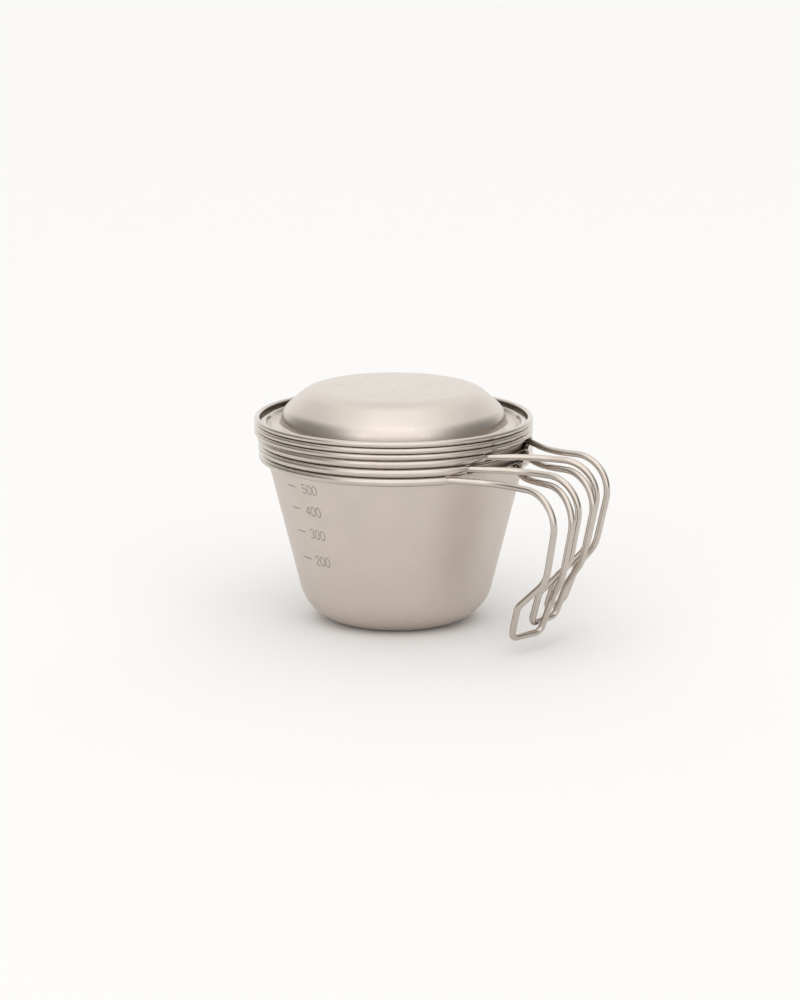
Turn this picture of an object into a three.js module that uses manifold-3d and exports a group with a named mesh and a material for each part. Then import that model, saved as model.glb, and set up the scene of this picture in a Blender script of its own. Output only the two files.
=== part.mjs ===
// A nested hiking cook set: three tapered cups with folded wire handles, and three dishes upside down on top.
// Millimetres, +Z up. The origin is the middle of the large cup's underside, and +X runs along its handle.

import * as THREE from "three";
import { mergeVertices } from "three/addons/utils/BufferGeometryUtils.js";
import Module from "manifold-3d";

const wasm = await Module();
wasm.setup();

// Driving dimensions of the cups
const rimRadius = 63;
const largeHeight = 78.8;
const mediumHeight = 62;
const smallHeight = 46;
const cupSheet = 0.4;
const wallTaper = THREE.MathUtils.degToRad(14);
const baseCornerRadius = 20.8;

// The wire, and the edge that is rolled over it
const wireRadius = 1.5;
const wireClearance = 0.1;
const rollEnd = THREE.MathUtils.degToRad(218);
const wireEndGap = 0.3;
const wireExit = THREE.MathUtils.degToRad(20);
const rollCutMargin = THREE.MathUtils.degToRad(1.8);
const lipReach = 0.3;

// The folded handle: reach outside the rolled edge, height over the floor, half width and bend radius
const handleSpring = { reach: 13.8, below: 0.8, half: 8, bend: 30 };
const handleShoulder = { reach: 50.8, below: 0.7, half: 5.8, bend: 15.5 };
const handleWaist = { reach: 41.9, height: 36, half: 5.1, bend: 14 };
const loopShoulder = { reach: 29.8, height: 23.1, half: 10.6, bend: 7 };
const loopEnd = { reach: 24.4, height: 7.6, half: 9.1, bend: 3.6 };
const exitBend = 4.5;
const handleGap = 0.25;

// The dishes
const lidOverhang = 0.85;
const lidSheet = 0.3;
const lidCurlRadius = 1.35;
const lidCurlEnd = THREE.MathUtils.degToRad(155);
const lidRise = 14.05;
const lidShoulderInset = 13;
const lidShoulderRun = 11.75;
const lidTopBend = 12;
const lidShoulderDrop = 10.3;
const lidShoulderBend = 8.3;
const lidWallGap = 0.138;
const lidFootBend = 1.2;
const ledgeDepth = 2.4;
const grooveDepth = 3;
const grooveClearance = 1.3;
const grooveWidth = 0.8;
const grooveWallRun = 0.6;
const bandClearance = 0.4;

// How the pieces lie in the stack
const stackGap = 0.1;
const handleSpacing = THREE.MathUtils.degToRad(9.65);
const leanDirection = THREE.MathUtils.degToRad(226.6);
const mediumLean = 0.3;
const smallLean = 0.6;
const lidLean = 1.2;

// Fineness of the round shapes
const roundSegments = 32;
const bendStep = THREE.MathUtils.degToRad(20);
const curlStep = THREE.MathUtils.degToRad(34);
const lidCurlStep = THREE.MathUtils.degToRad(42);
const wireSides = 8;

// Sizes that follow
const rollInside = wireRadius + wireClearance;
const rollRadius = rollInside + cupSheet;
const hoopRadius = rimRadius - rollRadius;
const mouthRadius = hoopRadius - rollRadius;
const cupPitch = 2 * rollRadius + stackGap;
const largeRollLevel = largeHeight - rollRadius;
const lidRadius = rimRadius + lidOverhang;
const lidPitch = 2 * lidCurlRadius + stackGap;

// Each handle is drawn in, so that the end of its loop clears the leaning side of the loop below it. The turn
// between the two handles already brings it in a little at that place.
const loopLean = Math.atan2(loopShoulder.reach - loopEnd.reach, loopShoulder.height - loopEnd.height);
const loopReach = hoopRadius + loopEnd.reach;
const turnedIn = loopEnd.half * Math.tan(handleSpacing) - loopReach * (1 / Math.cos(handleSpacing) - 1);
const wireStep = (2 * wireRadius + handleGap) / Math.cos(loopLean);
const handleTuck = wireStep - cupPitch * Math.tan(loopLean) - turnedIn;

// The dish's wall leans just enough for the next dish to go over it
const lidWallTaper = Math.asin((lidSheet + lidWallGap) / lidPitch);

function material(color, roughness) {
  return new THREE.MeshStandardMaterial({ color, roughness, metalness: 1 });
}

function solidOf(geometry) {
  const bare = geometry.clone();
  bare.deleteAttribute("normal");
  bare.deleteAttribute("uv");
  const merged = mergeVertices(bare, 1e-4);
  return new wasm.Manifold(new wasm.Mesh({
    numProp: 3,
    vertProperties: new Float32Array(merged.attributes.position.array),
    triVerts: new Uint32Array(merged.index.array),
  }));
}

function geometryOf(solid) {
  const mesh = solid.getMesh();
  const geometry = new THREE.BufferGeometry();
  geometry.setAttribute("position", new THREE.BufferAttribute(mesh.vertProperties, 3));
  geometry.setIndex(new THREE.BufferAttribute(mesh.triVerts, 1));
  geometry.computeVertexNormals();
  return geometry;
}

// The direction from one corner to the next
function heading(corners, i) {
  return corners[i + 1].clone().sub(corners[i]).normalize();
}

// How much a line turns at one of its corners
function turnAt(corners, i) {
  if (i === 0 || i === corners.length - 1) return 0;
  return Math.acos(THREE.MathUtils.clamp(heading(corners, i - 1).dot(heading(corners, i)), -1, 1));
}

// The points along a line with rounded corners, of Vector2 or Vector3. Two bends that need more than the
// straight between them share it.
function rounded(corners, bends, step) {
  const setbacks = corners.map((corner, i) => bends[i] * Math.tan(turnAt(corners, i) / 2));
  const share = (i, next) => {
    const needed = setbacks[i] + setbacks[next];
    return setbacks[i] * Math.min(1, corners[i].distanceTo(corners[next]) / Math.max(needed, 1e-9));
  };
  const points = [corners[0].clone()];
  for (let i = 1; i < corners.length - 1; i += 1) {
    const along = heading(corners, i - 1);
    const away = heading(corners, i);
    const turn = turnAt(corners, i);
    const setback = Math.min(share(i, i - 1), share(i, i + 1));
    const bend = turn > 0 ? setback / Math.tan(turn / 2) : 0;
    const start = corners[i].clone().addScaledVector(along, -setback);
    const inward = away.clone().addScaledVector(along, -along.dot(away)).normalize();
    const centre = start.clone().addScaledVector(inward, bend);
    const count = bend > 0 ? Math.max(1, Math.ceil(turn / step)) : 0;
    for (let k = 0; k <= count; k += 1) {
      const angle = count > 0 ? (turn * k) / count : 0;
      const point = centre.clone().addScaledVector(inward, -bend * Math.cos(angle));
      points.push(point.addScaledVector(along, bend * Math.sin(angle)));
    }
  }
  points.push(corners.at(-1).clone());
  return points;
}

// Points on an arc in a profile, from one angle to another
function arc(centre, radius, from, to, step) {
  const count = Math.ceil(Math.abs(to - from) / step);
  const points = [];
  for (let k = 0; k <= count; k += 1) {
    const angle = from + ((to - from) * k) / count;
    points.push(new THREE.Vector2(centre.x + radius * Math.cos(angle), centre.y + radius * Math.sin(angle)));
  }
  return points;
}

// A body of revolution about Z from a profile of radius and height
function turned(profile) {
  const geometry = new THREE.LatheGeometry(profile, roundSegments);
  geometry.rotateX(Math.PI / 2);
  return geometry;
}

// Cup: a drawn bowl, its edge rolled outwards over the wire and trimmed to a short lip at the handle
function cupGeometry(height) {
  const rollLevel = height - rollRadius;
  const centre = new THREE.Vector2(hoopRadius, rollLevel);
  const rollStart = Math.PI - wallTaper;

  const outside = wallLine(centre, rollInside, rollStart, baseCornerRadius, 0);
  const inside = wallLine(centre, rollRadius, rollStart, baseCornerRadius - cupSheet, cupSheet);
  const under = arc(centre, rollInside, rollStart, rollStart - rollEnd - Math.PI / 2, curlStep);
  const over = arc(centre, rollRadius, rollStart, rollStart - rollEnd - Math.PI / 2, curlStep);
  const section = [...outside, ...under, ...over.reverse(), ...inside.reverse()];
  const bowl = solidOf(turned(section));

  // The ring that is trimmed off keeps the wall and the lip, which end in reach of the wire's top
  const wallTop = outsideWall(centre, rollStart, -wireClearance);
  const wallFoot = outsideWall(centre, rollStart, -wireClearance, 2 * rollRadius);
  const lipEdge = hoopRadius + lipReach;
  const trimSection = [
    wallFoot,
    new THREE.Vector2(rimRadius + rollRadius, wallFoot.y),
    new THREE.Vector2(rimRadius + rollRadius, height + rollRadius),
    new THREE.Vector2(lipEdge, height + rollRadius),
    new THREE.Vector2(lipEdge, rollLevel + wireRadius),
    ...arc(centre, wireRadius - wireClearance, Math.PI / 2, rollStart, curlStep),
    wallTop,
  ];
  trimSection.push(wallFoot.clone());
  const ring = solidOf(turned(trimSection));
  const sector = solidOf(wedge(wireExit + rollCutMargin, height));
  return geometryOf(bowl.subtract(ring.intersect(sector)));
}

// A point on the wall's outer face, below the start of the roll, moved out by a margin
function outsideWall(centre, rollStart, margin, down = 0) {
  const reach = rollInside + margin;
  return new THREE.Vector2(
    centre.x + reach * Math.cos(rollStart) - down * Math.tan(wallTaper),
    centre.y + reach * Math.sin(rollStart) - down,
  );
}

// One face of the bowl, from the axis along the base, round the corner and up the wall to the roll
function wallLine(centre, reach, rollStart, cornerRadius, level) {
  const top = outsideWall(centre, rollStart, reach - rollInside);
  const corner = new THREE.Vector2(top.x - (top.y - level) * Math.tan(wallTaper), level);
  const line = rounded([new THREE.Vector2(0, level), corner, top], [0, cornerRadius, 0], bendStep);
  line.pop();
  return line;
}

// A tall wedge about the +X axis that cuts out the handle's part of the rim
function wedge(halfAngle, height) {
  const far = 2 * rimRadius;
  const shape = new THREE.Shape([
    new THREE.Vector2(0, 0),
    new THREE.Vector2(far * Math.cos(halfAngle), -far * Math.sin(halfAngle)),
    new THREE.Vector2(far * Math.cos(halfAngle), far * Math.sin(halfAngle)),
  ]);
  return new THREE.ExtrudeGeometry(shape, { depth: 2 * height, bevelEnabled: false });
}

// A wire's centre line, which has one cross-section at each of its points
class BentLine extends THREE.Curve {
  constructor(points) {
    super();
    this.points = points;
  }

  getPointAt(u) {
    return this.points[Math.round(u * (this.points.length - 1))].clone();
  }

  getTangentAt(u) {
    const last = this.points.length - 1;
    const i = Math.round(u * last);
    const before = this.points[i].clone().sub(this.points[Math.max(i - 1, 0)]).normalize();
    const after = this.points[Math.min(i + 1, last)].clone().sub(this.points[i]).normalize();
    return before.add(after).normalize();
  }
}

// A point of the hoop inside the rolled edge, which has the same flats as the cup
function hoopPoint(angle, level) {
  const flat = (2 * Math.PI) / roundSegments;
  const middle = (Math.floor(angle / flat + 1e-6) + 0.5) * flat;
  const radius = (hoopRadius * Math.cos(flat / 2)) / Math.cos(angle - middle);
  return new THREE.Vector3(radius * Math.cos(angle), radius * Math.sin(angle), level);
}

// Handle: one length of wire, round the cup inside the roll, out at both sides and folded down into a loop
function handleGeometry(rollLevel, tuck) {
  const flat = (2 * Math.PI) / roundSegments;
  const hoop = [hoopPoint(Math.PI - wireEndGap / 2 / hoopRadius, rollLevel)];
  for (let angle = Math.PI - flat; angle > wireExit + flat / 8; angle -= flat) {
    hoop.push(hoopPoint(angle, rollLevel));
  }
  const lift = rollLevel - largeRollLevel;
  const corners = [hoop.at(-1), hoopPoint(wireExit, rollLevel)];
  const bends = [0, exitBend];
  for (const corner of [handleSpring, handleShoulder, handleWaist, loopShoulder, loopEnd]) {
    const level = corner.height === undefined ? rollLevel - corner.below : corner.height + lift;
    const reach = corner === handleSpring ? corner.reach : corner.reach - tuck;
    corners.push(new THREE.Vector3(hoopRadius + reach, corner.half, level));
    bends.push(corner.bend);
  }
  const middle = new THREE.Vector3(corners.at(-1).x, 0, corners.at(-1).z);
  const side = rounded([...corners, middle], [...bends, 0], bendStep);
  const half = [...hoop.slice(0, -1), ...side.slice(0, -1)];
  const mirrored = half.map((point) => new THREE.Vector3(point.x, -point.y, point.z)).reverse();
  const line = [...half, ...mirrored];

  const round = [];
  for (let k = 0; k < wireSides; k += 1) {
    const angle = (2 * Math.PI * k) / wireSides;
    round.push(new THREE.Vector2(wireRadius * Math.cos(angle), wireRadius * Math.sin(angle)));
  }
  return new THREE.ExtrudeGeometry(new THREE.Shape(round), {
    steps: line.length - 1,
    extrudePath: new BentLine(line),
    bevelEnabled: false,
  });
}

// Dish used as a lid: a flat crown, a sloping shoulder, a steep wall, a ledge, a groove that drops into
// the cup's mouth, a band on the rolled edge, and a curled rim. Heights are from the middle of the curl.
function lidGeometry() {
  const curlRadius = lidRadius - lidCurlRadius;
  const bandLevel = lidSheet - lidCurlRadius;
  const shoulderRadius = lidRadius - lidShoulderInset;
  const wallFootRadius = shoulderRadius + (lidRise - lidShoulderDrop + ledgeDepth) * Math.tan(lidWallTaper);
  const grooveOutside = mouthRadius - grooveClearance;
  const grooveInside = grooveOutside - grooveWidth;
  const corners = [
    [0, lidRise, 0],
    [shoulderRadius - lidShoulderRun, lidRise, lidTopBend],
    [shoulderRadius, lidRise - lidShoulderDrop, lidShoulderBend],
    [wallFootRadius, -ledgeDepth, lidFootBend],
    [grooveInside - grooveWallRun, -ledgeDepth, 0],
    [grooveInside, -grooveDepth, 0],
    [grooveOutside, -grooveDepth, 0],
    [mouthRadius - bandClearance, bandLevel, 0],
    [curlRadius, bandLevel, 0],
  ];
  const line = corners.map(([radius, level]) => new THREE.Vector2(radius, level));
  const upper = rounded(line, corners.map((corner) => corner[2]), bendStep);
  const lower = offset(upper, lidSheet);
  const centre = new THREE.Vector2(curlRadius, 0);
  const inner = arc(centre, lidCurlRadius - lidSheet, -Math.PI / 2, lidCurlEnd, lidCurlStep);
  const outer = arc(centre, lidCurlRadius, -Math.PI / 2, lidCurlEnd, lidCurlStep);
  const section = [...upper.slice(0, -1), ...inner, ...outer.reverse(), ...lower.slice(0, -1).reverse()];
  return turned(section.reverse());
}

// The other face of a sheet, one thickness below or inside the given one
function offset(line, thickness) {
  return line.map((point, i) => {
    const before = line[Math.max(i - 1, 0)];
    const after = line[Math.min(i + 1, line.length - 1)];
    const into = point.clone().sub(before).normalize();
    const out = after.clone().sub(point).normalize();
    if (i === 0) into.copy(out);
    if (i === line.length - 1) out.copy(into);
    const along = into.clone().add(out).normalize();
    const stretch = thickness / Math.max(along.dot(into), 0.5);
    return new THREE.Vector2(point.x + along.y * stretch, point.y - along.x * stretch);
  });
}

function place(group, lean, level, turn) {
  group.position.set(lean * Math.cos(leanDirection), lean * Math.sin(leanDirection), level);
  group.rotation.z = turn;
  return group;
}

function cupWithHandle(size, height, order, lean) {
  const level = largeHeight + order * cupPitch - height;
  const group = place(new THREE.Group(), lean, level, order * handleSpacing);
  const cup = new THREE.Mesh(cupGeometry(height), material(0xb9aea2, 0.55));
  cup.name = `cup_${size}`;
  const rollLevel = largeRollLevel + order * cupPitch;
  const handle = new THREE.Mesh(handleGeometry(rollLevel, order * handleTuck), material(0xb5aaa0, 0.35));
  handle.position.z = -level;
  handle.name = `handle_${size}`;
  group.add(cup, handle);
  return group;
}

function lid(name, order) {
  const firstLevel = largeHeight + 2 * cupPitch + stackGap + lidCurlRadius;
  const mesh = new THREE.Mesh(lidGeometry(), material(0xc4bcb2, 0.4));
  mesh.name = name;
  return place(mesh, lidLean, firstLevel + order * lidPitch, 0);
}

const cookSet = new THREE.Group();
cookSet.add(cupWithHandle("large", largeHeight, 0, 0));
cookSet.add(cupWithHandle("medium", mediumHeight, 1, mediumLean));
cookSet.add(cupWithHandle("small", smallHeight, 2, smallLean));
cookSet.add(lid("lid_lower", 0));
cookSet.add(lid("lid_middle", 1));
cookSet.add(lid("lid_upper", 2));

export default cookSet;
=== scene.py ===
import math

import bmesh
import bpy
from mathutils import Matrix, Vector


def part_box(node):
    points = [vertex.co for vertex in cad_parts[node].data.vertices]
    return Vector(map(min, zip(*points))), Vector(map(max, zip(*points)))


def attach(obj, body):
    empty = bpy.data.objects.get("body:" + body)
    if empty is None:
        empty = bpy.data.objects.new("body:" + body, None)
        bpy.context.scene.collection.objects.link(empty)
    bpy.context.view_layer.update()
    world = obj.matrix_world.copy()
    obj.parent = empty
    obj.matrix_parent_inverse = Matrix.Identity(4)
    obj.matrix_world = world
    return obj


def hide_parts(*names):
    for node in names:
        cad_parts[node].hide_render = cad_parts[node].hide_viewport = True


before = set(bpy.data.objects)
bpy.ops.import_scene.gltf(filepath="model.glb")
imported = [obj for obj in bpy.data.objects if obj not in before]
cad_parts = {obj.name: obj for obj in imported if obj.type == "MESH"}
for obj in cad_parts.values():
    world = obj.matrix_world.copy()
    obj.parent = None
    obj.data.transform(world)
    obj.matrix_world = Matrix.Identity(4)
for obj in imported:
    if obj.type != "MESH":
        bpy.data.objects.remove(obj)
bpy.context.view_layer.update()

mm = 0.001
print("frame loaded:", len(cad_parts), "nodes")

# Camera
viewpoint = {
    "azimuth": math.radians(47.35),  # round the cook set, from a camera that looks along +Y
    "elevation": math.radians(12.74),
    "distance": 1.657,
    "target": Vector((1.18, 1.25, 55.11)) * mm,
    "lens": 129.6,
    "sensor": 36,
}


def viewBack():
    azimuth, elevation = viewpoint["azimuth"], viewpoint["elevation"]
    flat = math.cos(elevation)
    return Vector((math.sin(azimuth) * flat, -math.cos(azimuth) * flat, math.sin(elevation)))


def addCamera():
    data = bpy.data.cameras.new("mainCamera")
    data.lens = viewpoint["lens"]
    data.sensor_width = viewpoint["sensor"]
    data.clip_start = 0.05
    data.clip_end = 60
    camera = bpy.data.objects.new("mainCamera", data)
    camera.location = viewpoint["target"] + viewBack() * viewpoint["distance"]
    camera.rotation_euler = (-viewBack()).to_track_quat("-Z", "Y").to_euler()
    bpy.context.scene.collection.objects.link(camera)
    bpy.context.scene.camera = camera


addCamera()

# Studio: a pale floor, a soft room, and lights placed round the view's own direction
studio = {
    "floorSize": 24,
    "floorColour": (0.86, 0.858, 0.85, 1),
    "floorRoughness": 0.85,
    "floorGloss": 0.2,
    "roomFar": (0.97, 0.967, 0.962, 1),  # the side that the camera faces
    "roomNear": (1.28, 1.26, 1.255, 1),  # the side behind the camera
    "roomSides": 0.25,  # how bright the room is at the left and right, as a share
    "roomStrength": 1.17,
    "depthBlend": (-0.7, 0.5),  # where the near side turns into the far one
    "sideBlend": (0.45, 0.95),  # where the sides begin to darken, and where they are darkest
}
lamps = {  # side, forward and up are metres from the cook set; forward points away from the camera
    "topLamp": {"side": 0, "forward": -0.55, "up": 1.45, "width": 1.2, "height": 1.2, "power": 1.1},
    "sideLamp": {"side": -1.1, "forward": -1.4, "up": 0.4, "width": 0.9, "height": 0.9, "power": 0.7},
}


def addFloor():
    bpy.ops.mesh.primitive_plane_add(size=studio["floorSize"])
    floor = bpy.context.object
    floor.name = "studioFloor"
    material = bpy.data.materials.new("studioFloor")
    material.use_nodes = True
    shader = material.node_tree.nodes["Principled BSDF"]
    shader.inputs["Base Color"].default_value = studio["floorColour"]
    shader.inputs["Roughness"].default_value = studio["floorRoughness"]
    shader.inputs["Specular IOR Level"].default_value = studio["floorGloss"]
    floor.data.materials.append(material)


def addRoom():
    world = bpy.data.worlds.new("studioRoom")
    bpy.context.scene.world = world
    world.use_nodes = True
    nodes, links = world.node_tree.nodes, world.node_tree.links
    place = nodes.new("ShaderNodeTexCoord")
    facing = nodes.new("ShaderNodeVectorMath")
    facing.operation = "DOT_PRODUCT"
    back = viewBack()
    facing.inputs[1].default_value = Vector((-back.x, -back.y, 0)).normalized()
    spread = nodes.new("ShaderNodeMapRange")
    spread.inputs["From Min"].default_value, spread.inputs["From Max"].default_value = studio["depthBlend"]
    blend = nodes.new("ShaderNodeMix")
    blend.data_type = "RGBA"
    blend.inputs[6].default_value = studio["roomNear"]
    blend.inputs[7].default_value = studio["roomFar"]
    background = nodes["Background"]
    beside = nodes.new("ShaderNodeVectorMath")
    beside.operation = "DOT_PRODUCT"
    beside.inputs[1].default_value = Vector((-back.y, back.x, 0)).normalized()
    either = nodes.new("ShaderNodeMath")
    either.operation = "ABSOLUTE"
    sides = nodes.new("ShaderNodeMapRange")
    sides.interpolation_type = "SMOOTHSTEP"
    sides.inputs["From Min"].default_value, sides.inputs["From Max"].default_value = studio["sideBlend"]
    sides.inputs["To Min"].default_value = studio["roomStrength"]
    sides.inputs["To Max"].default_value = studio["roomStrength"] * studio["roomSides"]
    links.new(place.outputs["Generated"], beside.inputs[0])
    links.new(beside.outputs["Value"], either.inputs[0])
    links.new(either.outputs["Value"], sides.inputs["Value"])
    links.new(sides.outputs["Result"], background.inputs["Strength"])
    links.new(place.outputs["Generated"], facing.inputs[0])
    links.new(facing.outputs["Value"], spread.inputs["Value"])
    links.new(spread.outputs["Result"], blend.inputs["Factor"])
    links.new(blend.outputs[2], background.inputs["Color"])


def addLamp(name, lamp):
    data = bpy.data.lights.new(name, "AREA")
    data.shape = "RECTANGLE"
    data.size = lamp["width"]
    data.size_y = lamp["height"]
    data.energy = lamp["power"]
    azimuth = viewpoint["azimuth"]
    right = Vector((math.cos(azimuth), math.sin(azimuth), 0))
    forward = Vector((-math.sin(azimuth), math.cos(azimuth), 0))
    centre = viewpoint["target"]
    light = bpy.data.objects.new(name, data)
    level = right * lamp["side"] + forward * lamp["forward"]
    light.location = centre + level + Vector((0, 0, lamp["up"]))
    light.rotation_euler = (centre - light.location).to_track_quat("-Z", "Y").to_euler()
    bpy.context.scene.collection.objects.link(light)


bpy.context.scene.view_settings.view_transform = "Standard"
addFloor()
addRoom()
for lampName, lampSettings in lamps.items():
    addLamp(lampName, lampSettings)
print("studio set up:", len(lamps), "lamps")


# Titanium
cupFinish = {
    "colour": (0.632, 0.565, 0.512),
    "mottle": 0.02,  # how far the colour wanders, as a share
    "mottleSize": 14 * mm,
    "roughness": 0.44,
    "roughnessRange": 0.03,
    "grainSize": 0.25 * mm,
    "grainDepth": 0.008 * mm,
}
wireFinish = {
    "colour": (0.555, 0.500, 0.447),
    "mottle": 0.04,
    "mottleSize": 6 * mm,
    "roughness": 0.16,
    "roughnessRange": 0.04,
    "grainSize": 0.6 * mm,
    "grainDepth": 0.001 * mm,
}
rimFinish = {
    "colour": (0.560, 0.508, 0.458),
    "mottle": 0.03,
    "mottleSize": 8 * mm,
    "roughness": 0.17,
    "roughnessRange": 0.05,
    "grainSize": 0.6 * mm,
    "grainDepth": 0.001 * mm,
}
lidFinish = {
    "colour": (0.610, 0.552, 0.498),
    "mottle": 0.025,
    "mottleSize": 10 * mm,
    "roughness": 0.31,
    "roughnessRange": 0.04,
    "grainSize": 0.4 * mm,
    "grainDepth": 0.007 * mm,
}
markFinish = {
    "colour": (0.36, 0.325, 0.29),
    "mottle": 0.25,
    "mottleSize": 0.8 * mm,
    "roughness": 0.62,
    "roughnessRange": 0.1,
    "grainSize": 0.2 * mm,
    "grainDepth": 0.01 * mm,
}


def addNoise(nodes, links, place, size, detail):
    noise = nodes.new("ShaderNodeTexNoise")
    noise.inputs["Scale"].default_value = 1 / size
    noise.inputs["Detail"].default_value = detail
    links.new(place.outputs["Object"], noise.inputs["Vector"])
    return noise


def addRange(nodes, links, value, low, high):
    spread = nodes.new("ShaderNodeMapRange")
    spread.inputs["From Min"].default_value = 0.3
    spread.inputs["From Max"].default_value = 0.7
    spread.inputs["To Min"].default_value = low
    spread.inputs["To Max"].default_value = high
    links.new(value, spread.inputs["Value"])
    return spread.outputs["Result"]


def titanium(name, finish):
    material = bpy.data.materials.new(name)
    material.use_nodes = True
    nodes, links = material.node_tree.nodes, material.node_tree.links
    shader = nodes["Principled BSDF"]
    shader.inputs["Metallic"].default_value = 1
    place = nodes.new("ShaderNodeTexCoord")

    mottle = addNoise(nodes, links, place, finish["mottleSize"], 4)
    tint = nodes.new("ShaderNodeMix")
    tint.data_type = "RGBA"
    colour = Vector(finish["colour"])
    tint.inputs[6].default_value = (*(colour * (1 - finish["mottle"])), 1)
    tint.inputs[7].default_value = (*(colour * (1 + finish["mottle"])), 1)
    links.new(addRange(nodes, links, mottle.outputs["Fac"], 0, 1), tint.inputs["Factor"])
    links.new(tint.outputs[2], shader.inputs["Base Color"])

    haze = addNoise(nodes, links, place, finish["mottleSize"] / 3, 5)
    low = finish["roughness"] - finish["roughnessRange"]
    high = finish["roughness"] + finish["roughnessRange"]
    links.new(addRange(nodes, links, haze.outputs["Fac"], low, high), shader.inputs["Roughness"])

    grain = addNoise(nodes, links, place, finish["grainSize"], 3)
    bump = nodes.new("ShaderNodeBump")
    bump.inputs["Strength"].default_value = 1
    bump.inputs["Distance"].default_value = finish["grainDepth"]
    links.new(grain.outputs["Fac"], bump.inputs["Height"])
    links.new(bump.outputs["Normal"], shader.inputs["Normal"])
    return material


cupTitanium = titanium("cupTitanium", cupFinish)
wireTitanium = titanium("wireTitanium", wireFinish)
lidTitanium = titanium("lidTitanium", lidFinish)
rimTitanium = titanium("rimTitanium", rimFinish)
etchedMark = titanium("etchedMark", markFinish)
print("finishes made")


# Shared shapes. Profiles are lists of radius and height.
def rounded(corners, bends, step):  # a line through the corners, each one bent to its radius
    line = [corners[0].copy()]
    for before, corner, after, bend in zip(corners, corners[1:], corners[2:], bends[1:]):
        along = (corner - before).normalized()
        away = (after - corner).normalized()
        turn = along.angle(away)
        inward = (away - along * along.dot(away)).normalized()
        start = corner - along * bend * math.tan(turn / 2)
        centre = start + inward * bend
        count = max(1, math.ceil(turn / step))
        for k in range(count + 1):
            angle = turn * k / count
            line.append(centre - inward * bend * math.cos(angle) + along * bend * math.sin(angle))
    line.append(corners[-1].copy())
    return line


def arc(centre, radius, start, end, step):
    count = math.ceil(abs(end - start) / step)
    angles = [start + (end - start) * k / count for k in range(count + 1)]
    return [Vector((centre.x + radius * math.cos(a), centre.y + radius * math.sin(a))) for a in angles]


def turnedRow(mesh, profile, angle):
    flat = Vector((math.cos(angle), math.sin(angle), 0))
    return [mesh.verts.new(flat * point.x + Vector((0, 0, point.y))) for point in profile]


def bridge(mesh, row, nextRow):
    for a, b, c, d in zip(row, row[1:], nextRow[1:], nextRow):
        mesh.faces.new((a, b, c, d))


sharpAngle = math.radians(50)


def addSheet(name, mesh, thickness, material, rimStart):  # sheet metal, polished outside rimStart
    bmesh.ops.remove_doubles(mesh, verts=mesh.verts, dist=0.001 * mm)
    data = bpy.data.meshes.new(name)
    mesh.to_mesh(data)
    mesh.free()
    piece = bpy.data.objects.new(name, data)
    bpy.context.scene.collection.objects.link(piece)
    sheet = piece.modifiers.new("sheet", "SOLIDIFY")
    sheet.thickness = thickness
    sheet.offset = -1
    sheet.use_even_offset = True
    shown = piece.evaluated_get(bpy.context.evaluated_depsgraph_get())
    piece.data = bpy.data.meshes.new_from_object(shown)
    piece.modifiers.clear()
    piece.data.shade_smooth()
    piece.data.set_sharp_from_angle(angle=sharpAngle)
    piece.data.materials.clear()
    piece.data.materials.append(material)
    piece.data.materials.append(rimTitanium)
    for face in piece.data.polygons:
        face.material_index = int(face.center.xy.length > rimStart)
    return piece


def axisOf(node):  # the foot of a round node's axis; its -X side is whole
    low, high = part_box(node)
    return Vector((low.x + (high.y - low.y) / 2, (low.y + high.y) / 2, low.z))


def placePiece(piece, node, body, location, turn):
    piece.data.transform(Matrix.Translation(location) @ Matrix.Rotation(turn, 4, "Z"))
    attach(piece, body)
    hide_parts(node)


# Cups
rim = {
    "radius": 63 * mm,
    "wire": 1.5 * mm,
    "play": 0.1 * mm,
    "turn": math.radians(308),
    "lipReach": 0.3 * mm,
    "openHalf": math.radians(21.8),  # half of the part left open for the handle
}
cup = {
    "sheet": 0.4 * mm,
    "taper": math.radians(14),
    "cornerRadius": 20.8 * mm,
    "fineStep": math.radians(6),
    "rollStep": math.radians(8),
    "roundSteps": 160,
    "openSteps": 24,
}
cupNodes = {
    "large": {"height": 78.8 * mm, "turn": 0},
    "medium": {"height": 62 * mm, "turn": math.radians(9.65)},
    "small": {"height": 46 * mm, "turn": math.radians(19.3)},
}
rollInside = rim["wire"] + rim["play"]
rollRadius = rollInside + cup["sheet"]
hoopRadius = rim["radius"] - rollRadius


def addCup(size):
    height = cupNodes[size]["height"]
    centre = Vector((hoopRadius, height - rollRadius))
    rollStart = math.pi - cup["taper"]
    lipAngle = math.acos(rim["lipReach"] / rollRadius)
    top = centre + rollRadius * Vector((math.cos(rollStart), math.sin(rollStart)))
    floorLevel = cup["sheet"]
    corner = Vector((top.x - (top.y - floorLevel) * math.tan(cup["taper"]), floorLevel))
    inside = rounded(
        [Vector((0, floorLevel)), corner, top],
        [0, cup["cornerRadius"] - cup["sheet"], 0],
        cup["fineStep"],
    )
    lip = arc(centre, rollRadius, rollStart, lipAngle, cup["rollStep"])
    roll = arc(centre, rollRadius, lipAngle, rollStart - rim["turn"], cup["rollStep"])

    mesh = bmesh.new()
    half = rim["openHalf"]
    closedPart = 2 * math.pi - 2 * half
    rolled = [half + closedPart * k / cup["roundSteps"] for k in range(cup["roundSteps"] + 1)]
    opened = [-half + 2 * half * k / cup["openSteps"] for k in range(cup["openSteps"] + 1)]
    for angles, profile in ((rolled, inside[:-1] + lip[:-1] + roll), (opened, inside[:-1] + lip)):
        rows = [turnedRow(mesh, profile, angle) for angle in angles]
        for row, nextRow in zip(rows, rows[1:]):
            bridge(mesh, row, nextRow)
    piece = addSheet(size + "Cup", mesh, cup["sheet"], cupTitanium, hoopRadius - rollRadius)
    node = "cup_" + size
    placePiece(piece, node, size + "_cup", axisOf(node), cupNodes[size]["turn"])


for cupSize in cupNodes:
    addCup(cupSize)
print("cups made")

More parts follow.
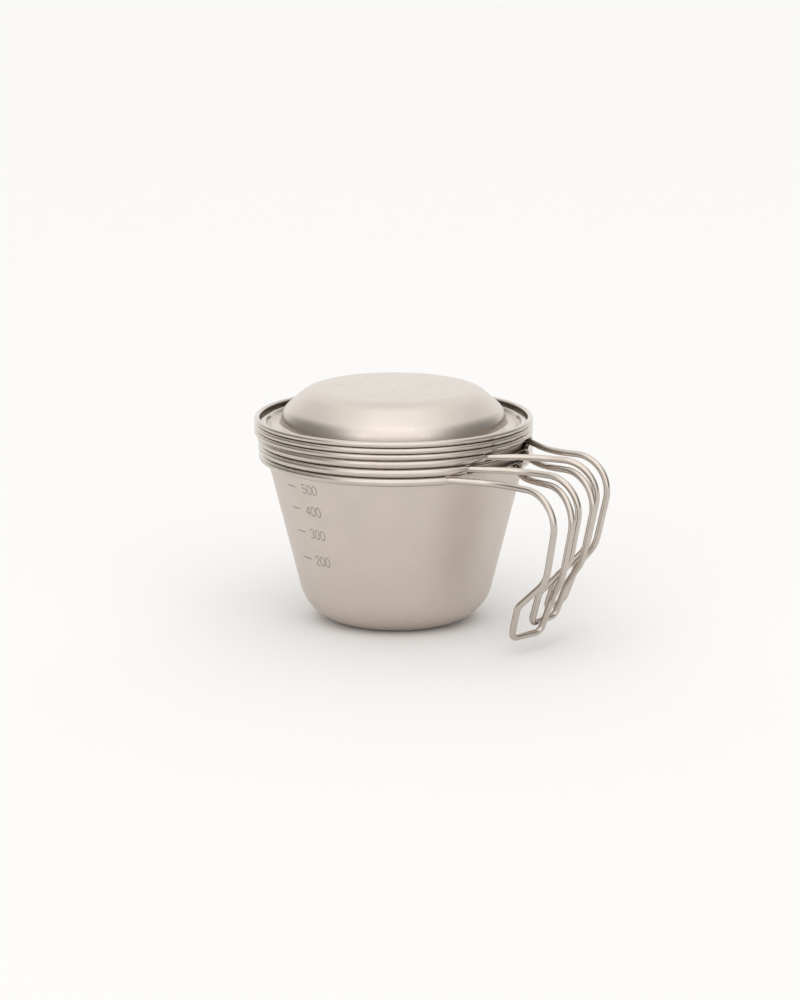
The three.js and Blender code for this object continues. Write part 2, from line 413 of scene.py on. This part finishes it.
# Volume marks: a dash and a number at each level, thin and set on the large cup's wall
marks = {
    "azimuth": math.radians(-55.2),  # of the dash, from the side that faces the camera
    "figureAzimuth": math.radians(-42.5),
    "dashLength": 6 * mm,
    "dashWidth": 0.5 * mm,
    "figureHeight": 4.2 * mm,
    "figureWidth": 2.3 * mm,
    "figureGap": 0.9 * mm,
    "stroke": 0.42 * mm,
    "strokeStep": 0.8 * mm,
    "proud": 0.03 * mm,
    "sunk": 0.02 * mm,
}
markLevels = {"500": 69.1, "400": 58.7, "300": 47.5, "200": 34.6}  # mm over the floor
figureStrokes = {  # lines through points of a box one wide and two tall
    "0": [[(0.3, 0), (0.7, 0), (1, 0.4), (1, 1.6), (0.7, 2), (0.3, 2), (0, 1.6), (0, 0.4), (0.3, 0)]],
    "2": [[(0, 1.6), (0.3, 2), (0.7, 2), (1, 1.6), (1, 1.25), (0, 0), (1, 0)]],
    "3": [[(0, 1.7), (0.3, 2), (0.7, 2), (1, 1.6), (0.65, 1.05), (1, 0.5), (0.7, 0), (0.3, 0), (0, 0.3)]],
    "4": [[(0.75, 0), (0.75, 2), (0, 0.6), (1, 0.6)]],
    "5": [[(1, 2), (0.1, 2), (0, 1.1), (0.6, 1.2), (1, 0.8), (1, 0.4), (0.7, 0), (0.3, 0), (0, 0.3)]],
}
faceSide = viewpoint["azimuth"] - math.pi / 2
wallTop = Vector((hoopRadius, cupNodes["large"]["height"] - rollRadius))
wallTop += rollInside * Vector((-math.cos(cup["taper"]), math.sin(cup["taper"])))


def wallPoint(azimuth, along, level, proud):  # a place on the wall, some way along it from an azimuth
    radius = wallTop.x - (wallTop.y - level) * math.tan(cup["taper"])
    angle = faceSide + azimuth + along / radius
    flat = Vector((math.cos(angle), math.sin(angle), 0))
    outward = flat * math.cos(cup["taper"]) - Vector((0, 0, math.sin(cup["taper"])))
    return flat * radius + Vector((0, 0, level)) + outward * proud


def addStroke(mesh, start, end, width, azimuth):  # start and end are places along the wall and levels
    along = (end - start).normalized()
    across = Vector((-along.y, along.x)) * width / 2
    steps = max(1, math.ceil((end - start).length / marks["strokeStep"]))
    rows = []
    for k in range(steps + 1):
        middle = start.lerp(end, k / steps)
        left, right = middle + across, middle - across
        low, high = -marks["sunk"], marks["proud"]
        ring = ((left, low), (left, high), (right, high), (right, low))
        rows.append([mesh.verts.new(wallPoint(azimuth, side.x, side.y, height)) for side, height in ring])
    for row, nextRow in zip(rows, rows[1:]):
        for i in range(4):
            mesh.faces.new((row[i], row[(i + 1) % 4], nextRow[(i + 1) % 4], nextRow[i]))
    mesh.faces.new(rows[0][::-1])
    mesh.faces.new(rows[-1])


def addFigure(mesh, figure, left, low):
    width, height = marks["figureWidth"], marks["figureHeight"] / 2
    for line in figureStrokes[figure]:
        points = [Vector((left + x * width, low + y * height)) for x, y in line]
        for start, end in zip(points, points[1:]):
            addStroke(mesh, start, end, marks["stroke"], marks["figureAzimuth"])


def addMarks():
    mesh = bmesh.new()
    half = Vector((marks["dashLength"] / 2, 0))
    spacing = marks["figureWidth"] + marks["figureGap"]
    for figures, level in markLevels.items():
        dash = Vector((0, level * mm))
        addStroke(mesh, dash - half, dash + half, marks["dashWidth"], marks["azimuth"])
        for place, figure in enumerate(figures):
            left = (place - len(figures) / 2) * spacing
            addFigure(mesh, figure, left, level * mm - marks["figureHeight"] / 2)
    bmesh.ops.recalc_face_normals(mesh, faces=mesh.faces)
    data = bpy.data.meshes.new("volumeMarks")
    mesh.to_mesh(data)
    mesh.free()
    piece = bpy.data.objects.new("volumeMarks", data)
    bpy.context.scene.collection.objects.link(piece)
    data.materials.append(etchedMark)
    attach(piece, "large_cup")


addMarks()
print("volume marks made")

# Handles
handle = {
    "exit": math.radians(20),
    "endGap": 0.3 * mm,
    "lead": math.radians(2.5),  # straight wire kept before the exit
    "exitBend": 4.5 * mm,
    "gap": 0.25 * mm,
    "step": math.radians(5),
    "hoopStep": math.radians(2),
    "smoothness": 8,
}
handleCorners = [  # mm: reach outside the hoop, level under it or over the floor, half width and bend
    {"reach": 13.8, "below": 0.8, "half": 8, "bend": 30},
    {"reach": 50.8, "below": 0.7, "half": 5.8, "bend": 15.5},
    {"reach": 41.9, "height": 36, "half": 5.1, "bend": 14},
    {"reach": 29.8, "height": 23.1, "half": 10.6, "bend": 7},
    {"reach": 24.4, "height": 7.6, "half": 9.1, "bend": 3.6},
]
stackGap = 0.1 * mm
handlePitch = 2 * rollRadius + stackGap
loopShoulder, loopEnd = handleCorners[-2:]
loopLean = math.atan2(loopShoulder["reach"] - loopEnd["reach"], loopShoulder["height"] - loopEnd["height"])
loopTurn = cupNodes["medium"]["turn"]
loopReach = hoopRadius + loopEnd["reach"] * mm
turnedIn = loopEnd["half"] * mm * math.tan(loopTurn) - loopReach * (1 / math.cos(loopTurn) - 1)
wireStep = (2 * rim["wire"] + handle["gap"]) / math.cos(loopLean)
handleTuck = wireStep - handlePitch * math.tan(loopLean) - turnedIn


def handleLine(order):
    largeLevel = cupNodes["large"]["height"] - rollRadius
    level = largeLevel + order * handlePitch
    corners, bends = [], []
    for corner in handleCorners:
        first = corner is handleCorners[0]
        if "below" in corner:
            height = level - corner["below"] * mm
        else:
            height = corner["height"] * mm + order * handlePitch
        reach = corner["reach"] * mm - (0 if first else order * handleTuck)
        corners.append(Vector((hoopRadius + reach, corner["half"] * mm, height)))
        bends.append(corner["bend"] * mm)

    start = math.pi - handle["endGap"] / 2 / hoopRadius
    lead = handle["exit"] + handle["lead"]
    count = math.ceil((start - lead) / handle["hoopStep"])
    hoopAngles = [start + (lead - start) * k / count for k in range(count + 1)]
    hoop = [Vector((hoopRadius * math.cos(a), hoopRadius * math.sin(a), level)) for a in hoopAngles]
    flat = Vector((math.cos(handle["exit"]), math.sin(handle["exit"]), 0))
    exitPoint = flat * hoopRadius + Vector((0, 0, level))
    middle = Vector((corners[-1].x, 0, corners[-1].z))
    bends = [0, handle["exitBend"], *bends, 0]
    side = rounded([hoop[-1], exitPoint, *corners, middle], bends, handle["step"])
    half = hoop[:-1] + side[:-1]
    return half + [Vector((p.x, -p.y, p.z)) for p in reversed(half)]


def addHandle(size, order):
    base = axisOf("cup_" + size)
    line = handleLine(order)
    curve = bpy.data.curves.new(size + "Handle", "CURVE")
    curve.dimensions = "3D"
    curve.bevel_depth = rim["wire"]
    curve.bevel_resolution = handle["smoothness"]
    curve.use_fill_caps = True
    spline = curve.splines.new("POLY")
    spline.points.add(len(line) - 1)
    for point, place in zip(spline.points, line):
        point.co = (*place, 1)
    wire = bpy.data.objects.new(size + "Wire", curve)
    bpy.context.scene.collection.objects.link(wire)
    shown = wire.evaluated_get(bpy.context.evaluated_depsgraph_get())
    piece = bpy.data.objects.new(size + "Handle", bpy.data.meshes.new_from_object(shown))
    bpy.context.scene.collection.objects.link(piece)
    bpy.data.objects.remove(wire)
    piece.data.shade_smooth()
    piece.data.set_sharp_from_angle(angle=sharpAngle)
    piece.data.materials.append(wireTitanium)
    location = Vector((base.x, base.y, 0))
    placePiece(piece, "handle_" + size, size + "_cup", location, cupNodes[size]["turn"])


for handleOrder, handleSize in enumerate(cupNodes):
    addHandle(handleSize, handleOrder)
print("handles made")

# Dishes
lid = {
    "radius": 63.85 * mm,
    "sheet": 0.3 * mm,
    "curlRadius": 1.35 * mm,
    "curlEnd": math.radians(155),
    "rise": 14.05 * mm,
    "shoulderRadius": 50.85 * mm,
    "shoulderDrop": 10.3 * mm,
    "topRadius": 39.1 * mm,
    "wallTaper": math.radians(9),
    "ledgeDepth": 2.4 * mm,
    "grooveDepth": 3 * mm,
    "grooveOutside": 57.7 * mm,
    "grooveWidth": 0.8 * mm,
    "grooveRun": 0.6 * mm,
    "bandRadius": 58.6 * mm,
    "topBend": 12 * mm,
    "shoulderBend": 8.3 * mm,
    "footBend": 1.2 * mm,
    "ledgeBend": 0.5 * mm,
    "grooveInnerBend": 0.3 * mm,
    "grooveOuterBend": 0.35 * mm,
    "bandBend": 0.6 * mm,
    "step": math.radians(7),
    "roundSteps": 192,
}
lidBodies = {"lid_lower": "lower_lid", "lid_middle": "middle_lid", "lid_upper": "upper_lid"}


def lidProfile():
    curlCentre = Vector((lid["radius"] - lid["curlRadius"], 0))
    inner = lid["curlRadius"] - lid["sheet"]
    wallDrop = lid["rise"] - lid["shoulderDrop"] + lid["ledgeDepth"]
    footRadius = lid["shoulderRadius"] + wallDrop * math.tan(lid["wallTaper"])
    grooveInside = lid["grooveOutside"] - lid["grooveWidth"]
    corners = [
        (0, lid["rise"], 0),
        (lid["topRadius"], lid["rise"], lid["topBend"]),
        (lid["shoulderRadius"], lid["rise"] - lid["shoulderDrop"], lid["shoulderBend"]),
        (footRadius, -lid["ledgeDepth"], lid["footBend"]),
        (grooveInside - lid["grooveRun"], -lid["ledgeDepth"], lid["ledgeBend"]),
        (grooveInside, -lid["grooveDepth"], lid["grooveInnerBend"]),
        (lid["grooveOutside"], -lid["grooveDepth"], lid["grooveOuterBend"]),
        (lid["bandRadius"], -inner, lid["bandBend"]),
        (curlCentre.x, -inner, 0),
    ]
    points = [Vector((radius, level)) for radius, level, bend in corners]
    line = rounded(points, [bend for radius, level, bend in corners], lid["step"])
    return line[:-1] + arc(curlCentre, inner, -math.pi / 2, lid["curlEnd"], lid["step"])


def addLid(node, body):
    mesh = bmesh.new()
    profile = lidProfile()
    steps = lid["roundSteps"]
    rows = [turnedRow(mesh, profile, 2 * math.pi * k / steps) for k in range(steps + 1)]
    for row, nextRow in zip(rows, rows[1:]):
        bridge(mesh, row, nextRow)
    part, where = node.split("_")
    piece = addSheet(where + part.capitalize(), mesh, lid["sheet"], lidTitanium, lid["grooveOutside"])
    base = axisOf(node)
    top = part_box(node)[1].z
    place = Vector((base.x, base.y, top - lid["rise"]))
    placePiece(piece, node, body, place, 0)


for lidNode, lidBody in lidBodies.items():
    addLid(lidNode, lidBody)
print("dishes made")
